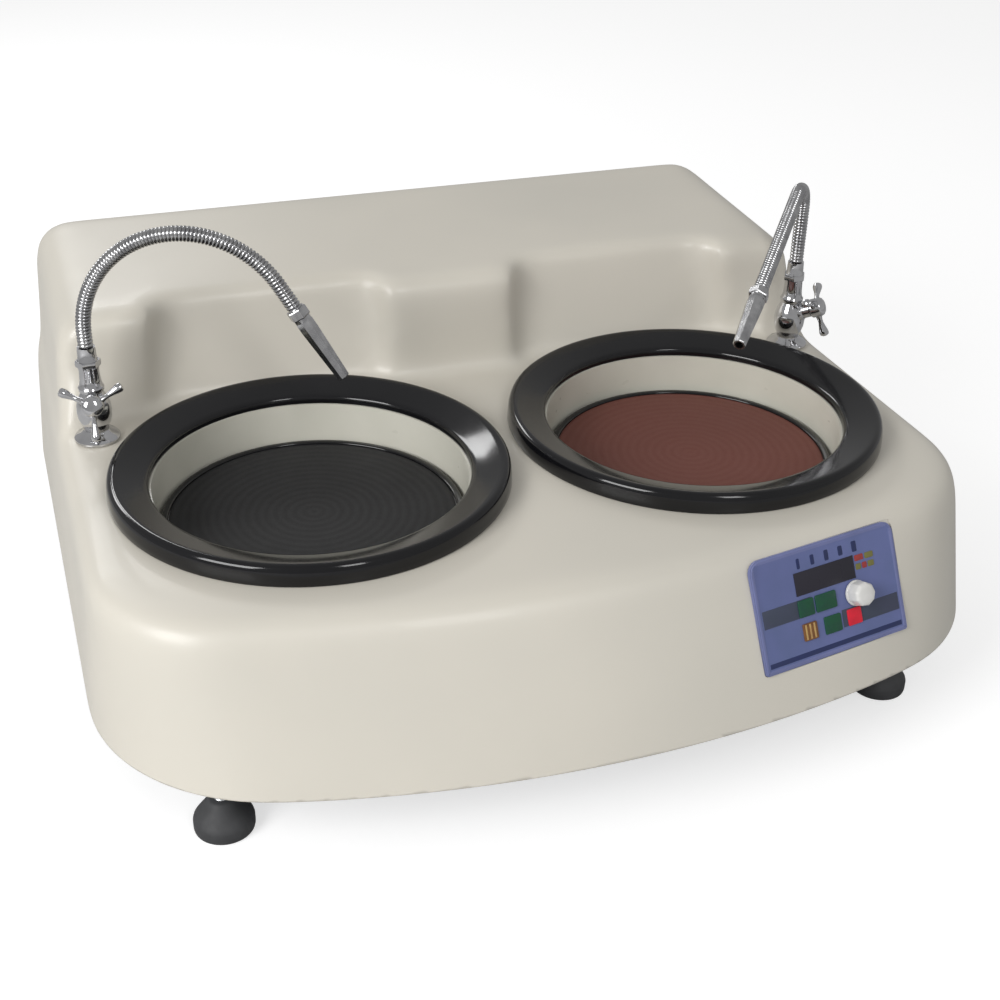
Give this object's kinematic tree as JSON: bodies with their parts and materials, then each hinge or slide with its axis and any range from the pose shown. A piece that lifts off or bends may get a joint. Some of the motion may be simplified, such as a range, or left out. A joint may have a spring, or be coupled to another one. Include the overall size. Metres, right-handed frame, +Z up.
{
  "type": "twin-disc grinding and polishing machine",
  "caption": "Bench lapidary machine: moulded case, two spinning wet grinding discs in bowls with splash rings, water taps with bendable spouts, and a sloping control panel.",
  "frame": {"origin": "on the floor, under the middle of the case", "axes": "+X to the right across both discs, +Y to the back, +Z up"},
  "size_m": [0.662, 0.6, 0.3458],
  "materials": {
    "case": "cream moulded, soft gloss",
    "black_gloss": "polished black",
    "chrome": "polished",
    "spout_steel": "corrugated, polished",
    "aluminium": "machined",
    "steel": "zinc plated",
    "grey_paint": "painted",
    "iron": "machined",
    "paper_grey": "fine matt grit",
    "paper_brown": "fine matt grit",
    "rubber": "matt",
    "belt_rubber": "matt",
    "panel_blue": "satin film",
    "window": "smoked",
    "key_green": "satin",
    "key_red": "satin",
    "key_amber": "satin",
    "knob_white": "satin",
    "dark_plastic": "moulded",
    "switch_red": "gloss",
    "pipe_plastic": "plain",
    "copper": "plain"
  },
  "bodies": {
    "frame": {"case_shell": "case", "base_plate": "grey_paint", "chassis_plate": "steel", "chassis_posts": "steel", "case_screws": "steel", "rear_pan": "steel", "left_bowl": "case", "right_bowl": "case", "left_bearing_housing": "iron", "right_bearing_housing": "iron", "left_bearings": "steel", "right_bearings": "steel", "left_belt": "belt_rubber", "right_belt": "belt_rubber", "motor": "grey_paint", "motor_terminal_box": "grey_paint", "inverter": "dark_plastic", "left_drain_pipe": "pipe_plastic", "right_drain_pipe": "pipe_plastic", "water_pipes": "copper", "left_tap": "chrome", "right_tap": "chrome", "tap_nuts": "steel", "panel_fascia": "panel_blue", "panel_box": "dark_plastic", "display_window": "window", "mains_inlet": "dark_plastic", "switch_housing": "dark_plastic", "foot_nuts": "steel"},
    "left_disc": {"left_platen": "aluminium", "left_paper": "paper_grey", "left_hoop": "black_gloss", "left_spindle": "steel", "left_pulley": "aluminium"},
    "right_disc": {"right_platen": "aluminium", "right_paper": "paper_brown", "right_hoop": "black_gloss", "right_spindle": "steel", "right_pulley": "aluminium"},
    "rotor": {"motor_shaft": "steel", "motor_pulley": "aluminium"},
    "left_splash": {"left_ring": "black_gloss"},
    "right_splash": {"right_ring": "black_gloss"},
    "left_valve": {"left_tap_handle": "chrome"},
    "right_valve": {"right_tap_handle": "chrome"},
    "left_spout_arm": {"left_spout": "spout_steel", "left_nozzle": "spout_steel"},
    "right_spout_arm": {"right_spout": "spout_steel", "right_nozzle": "spout_steel"},
    "knob": {"speed_knob": "knob_white"},
    "up_key": {"key_up": "key_green"},
    "down_key": {"key_down": "key_green"},
    "start_key": {"key_start": "key_green"},
    "stop_key": {"key_stop": "key_red"},
    "mode_key": {"key_mode": "key_amber"},
    "rocker": {"main_switch": "switch_red"},
    "front_left_foot": {"foot_front_left": "rubber"},
    "front_right_foot": {"foot_front_right": "rubber"},
    "rear_left_foot": {"foot_rear_left": "rubber"},
    "rear_right_foot": {"foot_rear_right": "rubber"}
  },
  "joints": [
    {"name": "left_disc_spin", "type": "hinge", "parent": "frame", "child": "left_disc", "pos_m": [-0.1518, -0.053, 0.14], "axis": [0, 0, 1], "continuous": true},
    {"name": "right_disc_spin", "type": "hinge", "parent": "frame", "child": "right_disc", "pos_m": [0.1518, -0.053, 0.14], "axis": [0, 0, 1], "continuous": true},
    {"name": "motor_spin", "type": "hinge", "parent": "frame", "child": "rotor", "pos_m": [0, 0.19, 0.09], "axis": [0, 0, 1], "continuous": true},
    {"name": "left_ring_lift", "type": "slide", "parent": "frame", "child": "left_splash", "axis": [0, 0, 1], "range_m": [0, 0.006]},
    {"name": "right_ring_lift", "type": "slide", "parent": "frame", "child": "right_splash", "axis": [0, 0, 1], "range_m": [0, 0.006]},
    {"name": "left_valve_turn", "type": "hinge", "parent": "frame", "child": "left_valve", "pos_m": [-0.292, 0.054, 0.203], "axis": [-0.0796, -0.9101, 0.4067], "range_deg": [0, 480]},
    {"name": "right_valve_turn", "type": "hinge", "parent": "frame", "child": "right_valve", "pos_m": [0.292, 0.054, 0.203], "axis": [0.6789, -0.6113, 0.4067], "range_deg": [0, 480]},
    {"name": "left_spout_swivel", "type": "hinge", "parent": "frame", "child": "left_spout_arm", "pos_m": [-0.292, 0.054, 0.251], "axis": [0, 0, 1], "range_deg": [-75, 25]},
    {"name": "right_spout_swivel", "type": "hinge", "parent": "frame", "child": "right_spout_arm", "pos_m": [0.292, 0.054, 0.251], "axis": [0, 0, 1], "range_deg": [-45, 60]},
    {"name": "speed_knob_turn", "type": "hinge", "parent": "frame", "child": "knob", "pos_m": [0.18687, -0.25034, 0.13146], "axis": [-0.1574, 0.8925, -0.4226], "range_deg": [0, 280]},
    {"name": "up_key_press", "type": "slide", "parent": "frame", "child": "up_key", "axis": [-0.1574, 0.8925, -0.4226], "range_m": [0, 0.0006], "stiffness_N_per_m": 2500, "springref_m": -0.0004},
    {"name": "down_key_press", "type": "slide", "parent": "frame", "child": "down_key", "axis": [-0.1574, 0.8925, -0.4226], "range_m": [0, 0.0006], "stiffness_N_per_m": 2500, "springref_m": -0.0004},
    {"name": "start_key_press", "type": "slide", "parent": "frame", "child": "start_key", "axis": [-0.1574, 0.8925, -0.4226], "range_m": [0, 0.0006], "stiffness_N_per_m": 2500, "springref_m": -0.0004},
    {"name": "stop_key_press", "type": "slide", "parent": "frame", "child": "stop_key", "axis": [-0.1574, 0.8925, -0.4226], "range_m": [0, 0.0006], "stiffness_N_per_m": 2500, "springref_m": -0.0004},
    {"name": "mode_key_press", "type": "slide", "parent": "frame", "child": "mode_key", "axis": [-0.1574, 0.8925, -0.4226], "range_m": [0, 0.0006], "stiffness_N_per_m": 2500, "springref_m": -0.0004},
    {"name": "main_switch_rock", "type": "hinge", "parent": "frame", "child": "rocker", "pos_m": [-0.0693, 0.272, 0.175], "axis": [1, 0, 0], "range_deg": [-20, 0]},
    {"name": "front_left_foot_height", "type": "slide", "parent": "frame", "child": "front_left_foot", "axis": [0, 0, 1], "range_m": [-0.012, 0]},
    {"name": "front_right_foot_height", "type": "slide", "parent": "frame", "child": "front_right_foot", "axis": [0, 0, 1], "range_m": [-0.012, 0]},
    {"name": "rear_left_foot_height", "type": "slide", "parent": "frame", "child": "rear_left_foot", "axis": [0, 0, 1], "range_m": [-0.012, 0]},
    {"name": "rear_right_foot_height", "type": "slide", "parent": "frame", "child": "rear_right_foot", "axis": [0, 0, 1], "range_m": [-0.012, 0]}
  ],
  "couplings": [
    {"joint": "right_disc_spin", "follows": "left_disc_spin", "ratio": 1},
    {"joint": "motor_spin", "follows": "left_disc_spin", "ratio": 2}
  ]
}
